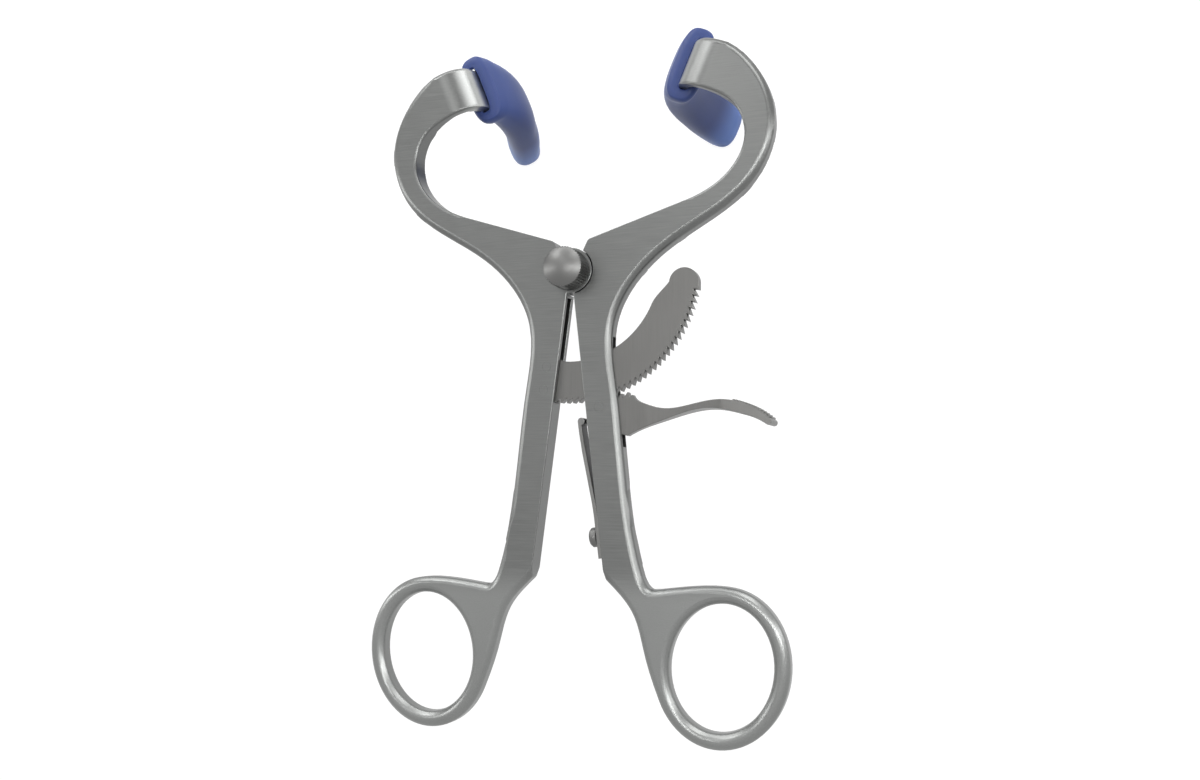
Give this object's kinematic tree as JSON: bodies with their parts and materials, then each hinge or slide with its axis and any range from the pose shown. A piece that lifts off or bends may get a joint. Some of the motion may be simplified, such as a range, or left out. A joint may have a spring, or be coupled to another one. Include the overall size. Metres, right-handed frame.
{
  "type": "mouth gag",
  "caption": "Hinged mouth gag with scissor-like ringed handles, C-shaped jaws that end in blades with soft blue sleeves, a curved ratchet bar, and a sprung release lever with a pawl.",
  "frame": {"origin": "centre of the base of the overall bounding box, level with the tips of the soft sleeves", "axes": "+Y from the finger rings towards the jaws, +Z from the sleeve tips up to the flat arms and the screw head, +X to the side that carries the release lever"},
  "size_m": [0.0874, 0.1412, 0.0403],
  "materials": {
    "arm_steel": "satin brushed stainless steel, brushed along the arms, brighter on rounded edges",
    "ratchet_steel": "fine satin stainless steel plate with sharp cut teeth",
    "screw_steel": "turned stainless steel, polished dome over a knurled rim",
    "spring_steel": "bright rolled spring strip",
    "pad_silicone": "smooth satin blue silicone, slightly translucent at the round tip"
  },
  "bodies": {
    "right_arm": {"right_arm": "arm_steel", "lever_pin": "arm_steel", "spring_screw": "screw_steel", "right_pad": "pad_silicone"},
    "left_arm": {"left_arm": "arm_steel", "ratchet_bar": "ratchet_steel", "rack_rivet_1": "arm_steel", "rack_rivet_2": "arm_steel", "left_pad": "pad_silicone"},
    "release_lever": {"release_lever": "ratchet_steel"},
    "leaf_spring": {"leaf_spring": "spring_steel"},
    "thumb_screw": {"thumb_screw": "screw_steel"}
  },
  "joints": [
    {"name": "jaw_hinge", "type": "hinge", "parent": "right_arm", "child": "left_arm", "pos_m": [0, 0.02143, 0.03214], "axis": [0, 0, 1], "range_deg": [-42, 8.4]},
    {"name": "lever", "type": "hinge", "parent": "right_arm", "child": "release_lever", "pos_m": [0.0064, -0.00617, 0.03214], "axis": [0, 0, -1], "range_deg": [-11.5, 4], "stiffness_Nm_per_rad": 0.05},
    {"name": "spring_flex", "type": "hinge", "parent": "right_arm", "child": "leaf_spring", "pos_m": [0.00668, -0.03157, 0.03214], "axis": [0, 0, -1], "range_deg": [-0.6, 1.6]},
    {"name": "screw_turn", "type": "hinge", "parent": "right_arm", "child": "thumb_screw", "pos_m": [0, 0.02143, 0.03214], "axis": [0, 0, 1], "range_deg": [0, 180]}
  ],
  "couplings": [
    {"joint": "spring_flex", "follows": "lever", "ratio": -0.13}
  ]
}
